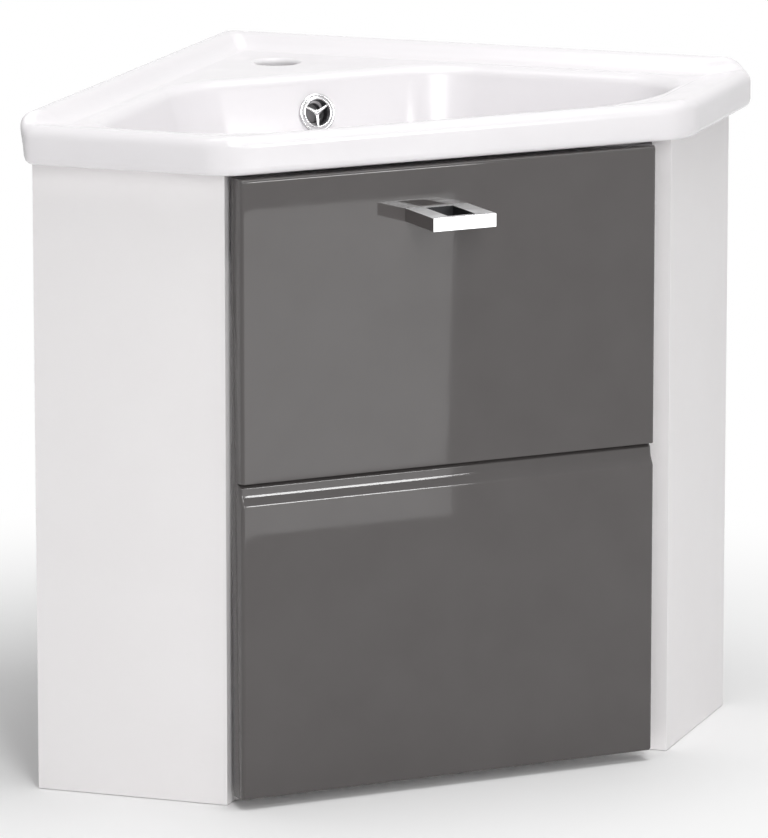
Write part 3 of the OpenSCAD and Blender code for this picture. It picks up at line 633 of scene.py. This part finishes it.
boards = {
    "edge": 0.5,
    "names": {"side_panel_left": "leftSide", "side_panel_right": "rightSide", "bottom_panel": "floorBoard",
              "upper_wall_rail_left": "upperRailLeft", "upper_wall_rail_right": "upperRailRight",
              "lower_wall_rail_left": "lowerRailLeft", "lower_wall_rail_right": "lowerRailRight"}}
for node, name in boards["names"].items():
    softCopy(node, name, finishes["white_board"], "cabinet", boards["edge"])
print("boards: made")


door = {
    "left": -186.0, "right": 167.0, "bottom": 7.5, "top": 489.5, "front": -20.0, "back": -2.0,
    "edgeRadius": 3.0, "backEdge": 0.4,
    "sideY": (-14.0, -8.0),            # the first moves with the rounded ends, the second stays
    "endZone": 12.0, "stations": 12,   # along x, between the rounded ends
    # finger groove: heights, with degrees off upright
    "tilts": ((236.0, 0), (239.4, 34), (243.4, 22), (246.2, 11), (250.4, 6), (251.6, 45), (254.0, 62)),
    "hollowRadius": 0.9, "lipRadius": 0.5,
    "cupX": -163.5, "cupHeights": (427.5, 69.5), "cupRadius": 17.6, "cupDepth": 12.1, "cupClear": 3.0}


def doorProfile(d):
    # y and z up the front, over the top and down the back. In the finger groove the depth at a height is
    # the sum of the tangent of the tilt up to there; then a quarter circle leads into the groove's roof
    a = np.radians(np.linspace(0, 90, 10))
    r, h, lip = d["edgeRadius"], d["hollowRadius"], d["lipRadius"]
    heights, tilts = np.array(d["tilts"], float).T
    z = np.linspace(heights[0], heights[-1], 91)
    slope = np.tan(np.radians(np.interp(z, heights, tilts)))
    depth = np.concatenate([[0], np.cumsum((slope[1:] + slope[:-1]) / 2 * np.diff(z))])
    roof = heights[-1] + h
    front = [np.stack([r * (1 - np.sin(a)), d["bottom"] + r * (1 - np.cos(a))], -1),
             np.stack([depth, z], -1),
             np.stack([depth[-1] - h * (1 - np.cos(a)), heights[-1] + h * np.sin(a)], -1)[1:],
             np.stack([lip * (1 - np.sin(a)), roof + lip * (1 - np.cos(a))], -1),
             np.stack([r * (1 - np.cos(a)), d["top"] - r * (1 - np.sin(a))], -1)]
    front = np.concatenate(front) + [d["front"], 0]
    y = np.array([*d["sideY"], d["back"]])
    over = np.stack([y, np.full(3, d["top"])], -1)
    under = np.stack([y[::-1], np.full(3, d["bottom"])], -1)
    return np.concatenate([front, over, under])


def makeDoor(d):
    # the profile runs along x, and near each end its front moves back on a quarter circle
    profile = doorProfile(d)
    moving, still = d["sideY"]
    share = np.clip((still - profile[:, 0]) / (still - moving), 0, 1)
    a = np.radians(np.linspace(90, 0, 10))
    inward, back = d["edgeRadius"] * (1 - np.sin(a)), d["edgeRadius"] * (1 - np.cos(a))
    middle = np.linspace(d["left"] + d["endZone"], d["right"] - d["endZone"], d["stations"])
    x = np.concatenate([d["left"] + inward, middle, d["right"] - inward[::-1]])
    push = np.concatenate([back, np.zeros(d["stations"]), back[::-1]])
    grid = np.stack([np.broadcast_to(x, (len(profile), len(x))), profile[:, :1] + share[:, None] * push,
                     np.repeat(profile[:, 1:], len(x), 1)], -1)
    rows, cols = grid.shape[:2]
    ends = np.stack([np.arange(rows) * cols, (np.arange(rows) * cols + cols - 1)[::-1]])
    mesh = outward(buildMesh("glossDoor", [(*gridPart(grid, wrapRows=True), ends)]))
    piece = addPiece("glossDoor", mesh, finishes["door_foil"], "door", 45)
    lying = np.array([[1, 0, 0], [0, 0, -1], [0, 1, 0]])       # z of a bore runs forward
    for height in d["cupHeights"]:
        seat = (d["cupX"], d["back"], height)
        bore(piece, d["cupRadius"], d["cupDepth"], -d["cupClear"], seat, lying)
    softened(piece, d["backEdge"])
    piece.data.set_sharp_from_angle(angle=math.radians(45))
    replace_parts(piece, "door_panel")


makeDoor(door)
print("door: made")


handle = {
    "edge": 0.3,
    "window": ((-34.0, -64.0), (-11.0, -25.0)),        # x and y of two corners of the opening
    "windowSlack": 0.12,
    "facing": 0.75,                    # share of the normal from which a face counts as facing that way
    "tones": ((0.82, 0.825, 0.83), (0.9, 0.9, 0.905)), "polish": (0.04, 0.07),
    # the left side's tone is painted shade: a darker base for the faces that point left
    "topRoughness": (0.28, 0.4), "leftShadeTone": (0.5, 0.48, 0.48),
    # the near-black tone inside the window is painted shade, where the frame shades it
    "windowShadeTone": (0.045, 0.045, 0.047), "insideRoughness": 0.5}


def reckon(tree, kind, first, second):
    # a Math node on two values, each a socket or a constant
    node = tree.nodes.new("ShaderNodeMath")
    node.operation = kind
    for socket, value in zip(node.inputs, (first, second)):
        if hasattr(value, "links"):
            tree.links.new(value, socket)
        else:
            socket.default_value = value
    return node.outputs["Value"]


def axesOf(tree, vector):
    split = tree.nodes.new("ShaderNodeSeparateXYZ")
    tree.links.new(vector, split.inputs["Vector"])
    return split.outputs


def blend(tree, factor, below, above):
    # the linked value or colour below where the factor is 0, and the constant above where it is 1
    colored = isinstance(above, tuple)
    mix = tree.nodes.new("ShaderNodeMix")
    mix.data_type = "RGBA" if colored else "FLOAT"
    fitting = [socket for socket in mix.inputs if socket.type == ("RGBA" if colored else "VALUE")]
    first, second = fitting[-2:]
    tree.links.new(factor, mix.inputs["Factor"])
    tree.links.new(below, first)
    second.default_value = (*above, 1) if colored else above
    return [socket for socket in mix.outputs if socket.enabled][0]


def handleFinish(h):
    # polished front and right, painted shade as a darker tone on the left side, fine brushed top and bottom,
    # painted shade as a dull near-black tone on the faces inside the window
    made, tree, inputs = newFinish("handleChrome", (0.86, 0.865, 0.87), 0.06, Metallic=1.0)
    place = tree.nodes.new("ShaderNodeTexCoord")
    at, facing = axesOf(tree, place.outputs["Object"]), axesOf(tree, place.outputs["Normal"])
    level = reckon(tree, "GREATER_THAN", reckon(tree, "ABSOLUTE", facing["Z"], 0), h["facing"])
    left = reckon(tree, "LESS_THAN", facing["X"], -h["facing"])
    inside = reckon(tree, "SUBTRACT", 1.0, level)
    low, high = toModel([(*corner, 0) for corner in h["window"]])
    for k, axis in enumerate("XY"):
        off = reckon(tree, "ABSOLUTE", reckon(tree, "SUBTRACT", at[axis], (low[k] + high[k]) / 2), 0)
        within = reckon(tree, "LESS_THAN", off, (high[k] - low[k]) / 2 + h["windowSlack"] / 1000)
        inside = reckon(tree, "MULTIPLY", inside, within)
    streaks = noiseOn(tree, 260, 3, (0.12, 1, 1))
    brushed = reckon(tree, "MULTIPLY", level, between(tree, streaks, *h["topRoughness"]))
    rough = reckon(tree, "ADD", brushed, between(tree, noiseOn(tree, 90, 2), *h["polish"]))
    # painted shade: faces that point left take the darker tone
    tone = blend(tree, left, between(tree, streaks, *h["tones"]), h["leftShadeTone"])
    tree.links.new(blend(tree, inside, rough, h["insideRoughness"]), inputs["Roughness"])
    # painted shade: the faces inside the window take the near-black tone
    tree.links.new(blend(tree, inside, tone, h["windowShadeTone"]), inputs["Base Color"])
    return made


softCopy("handle", "chromeHandle", handleFinish(handle), "door", handle["edge"])
print("handle: made")


# metres and watts; a lamp without diffuse light only shows in glossy surfaces, and one without glossy
# light never shows in them
stage = {"floorTone": 0.92, "floorRings": (0.001, 0.5, 1, 2, 3, 4), "floorLevel": -0.0005,
         "clearFrom": 0.25, "clearTo": 0.85, "skyShare": 0.2}
lamps = {
    "frontKey": {"place": (-0.8, -3.04, 1.7), "aim": (0, 0, 0.3), "size": (0.8, 1.9), "power": 44.0},
    "topSoft": {"place": (0.2, -0.4, 3.0), "aim": (0, 0, 0.4), "size": (2.2, 2.2), "power": 57.0},
    "rightBox": {"place": (0.757, -2.1, 0.96), "aim": (0.0, -0.1, 0.3), "size": (0.38, 0.38),
                 "power": 8.0, "diffuse": False},
    "frontFill": {"place": (-0.04, -1.05, 0.163), "aim": (-0.04, 0, 0.163), "size": (0.92, 0.325),
                  "power": 1.2, "glossy": False},
    "doorCard": {"place": (0.006, -0.643, 0.2575), "aim": (0.006, 0, 0.2575), "size": (0.414, 0.305),
                 "power": 0.49, "diffuse": False}}
# target in the plan and distance, in millimetres; the lens as pixels from the eye to the picture
view = {"target": (-9.0, 100.0, 267.2), "azimuth": 25.68, "elevation": 11.99, "distance": 5513.9,
        "focalPixels": 7041.8, "framePixels": 838, "sensor": 36.0}


def shownRays(tree):
    # 1 for rays from the camera, in a mirror or through glass, and 0 for the rays that light things
    path = tree.nodes.new("ShaderNodeLightPath")
    shown = path.outputs["Is Camera Ray"]
    for kind in ("Is Glossy Ray", "Is Transmission Ray"):
        shown = reckon(tree, "MAXIMUM", shown, path.outputs[kind])
    return shown


def makeFloor(s):
    # flat disc whose radius runs in rings and whose angle runs round; it fades to white for shown rays
    r = np.array(s["floorRings"])[:, None]
    a = np.linspace(0, 2 * math.pi, roundSteps, endpoint=False)
    grid = np.stack([r * np.cos(a), r * np.sin(a), np.full((len(r), roundSteps), s["floorLevel"])], -1)
    mesh = buildMesh("studioFloor", [(grid, gridFaces(len(r), roundSteps, wrapCols=True, flip=True))])
    floor = bpy.data.objects.new("studioFloor", mesh)
    bpy.context.scene.collection.objects.link(floor)
    made, tree, inputs = newFinish("paleFloor", (s["floorTone"],) * 3, 0.8)
    inputs["Specular IOR Level"].default_value = 0.1
    white = tree.nodes.new("ShaderNodeEmission")
    white.inputs["Strength"].default_value = 1.0
    place = tree.nodes.new("ShaderNodeTexCoord")
    flat = tree.nodes.new("ShaderNodeMapping")
    flat.inputs["Scale"].default_value = (1, 1, 0)
    length = tree.nodes.new("ShaderNodeVectorMath")
    length.operation = "LENGTH"
    fade = tree.nodes.new("ShaderNodeMapRange")
    fade.interpolation_type = "SMOOTHSTEP"
    fade.inputs["From Min"].default_value = s["clearFrom"]
    fade.inputs["From Max"].default_value = s["clearTo"]
    cover = tree.nodes.new("ShaderNodeMixShader")
    tree.links.new(place.outputs["Object"], flat.inputs["Vector"])
    tree.links.new(flat.outputs["Vector"], length.inputs[0])
    tree.links.new(length.outputs["Value"], fade.inputs["Value"])
    tree.links.new(reckon(tree, "MULTIPLY", fade.outputs["Result"], shownRays(tree)), cover.inputs["Fac"])
    tree.links.new(tree.nodes["Principled BSDF"].outputs["BSDF"], cover.inputs[1])
    tree.links.new(white.outputs["Emission"], cover.inputs[2])
    tree.links.new(cover.outputs["Shader"], tree.nodes["Material Output"].inputs["Surface"])
    mesh.materials.append(made)


def makeWorld(s):
    # white to the camera and in reflections, softer as a light
    world = bpy.data.worlds.new("paleStudio")
    bpy.context.scene.world = world
    world.use_nodes = True
    tree = world.node_tree
    sky = tree.nodes["Background"]
    sky.inputs["Color"].default_value = (1, 1, 1, 1)
    level = tree.nodes.new("ShaderNodeMapRange")
    level.inputs["To Min"].default_value = s["skyShare"]
    level.inputs["To Max"].default_value = 1.0
    tree.links.new(shownRays(tree), level.inputs["Value"])
    tree.links.new(level.outputs["Result"], sky.inputs["Strength"])


def addLamp(name, lamp):
    # flat panel, unseen by the camera, that faces its aim
    light = bpy.data.lights.new(name, "AREA")
    light.shape = "RECTANGLE"
    light.size, light.size_y = lamp["size"]
    light.energy = lamp["power"]
    made = bpy.data.objects.new(name, light)
    made.location = lamp["place"]
    ahead = Vector(lamp["aim"]) - Vector(lamp["place"])
    made.rotation_euler = ahead.to_track_quat("-Z", "Y").to_euler()
    made.visible_camera = False
    made.visible_diffuse = lamp.get("diffuse", True)
    made.visible_glossy = lamp.get("glossy", True)
    bpy.context.scene.collection.objects.link(made)


def makeCamera(v):
    az, el = math.radians(v["azimuth"]), math.radians(v["elevation"])
    ahead = Vector((math.sin(az) * math.cos(el), math.cos(az) * math.cos(el), -math.sin(el)))
    data = bpy.data.cameras.new("photoView")
    data.sensor_width = v["sensor"]
    data.lens = v["focalPixels"] * v["sensor"] / v["framePixels"]
    data.clip_end = 50
    made = bpy.data.objects.new("photoView", data)
    made.location = Vector(toModel(v["target"])) - ahead * v["distance"] / 1000
    made.rotation_euler = ahead.to_track_quat("-Z", "Y").to_euler()
    bpy.context.scene.collection.objects.link(made)
    bpy.context.scene.camera = made


makeFloor(stage)
makeWorld(stage)
for name, lamp in lamps.items():
    addLamp(name, lamp)
makeCamera(view)
bpy.context.scene.view_settings.view_transform = "Standard"
print("stage: made")
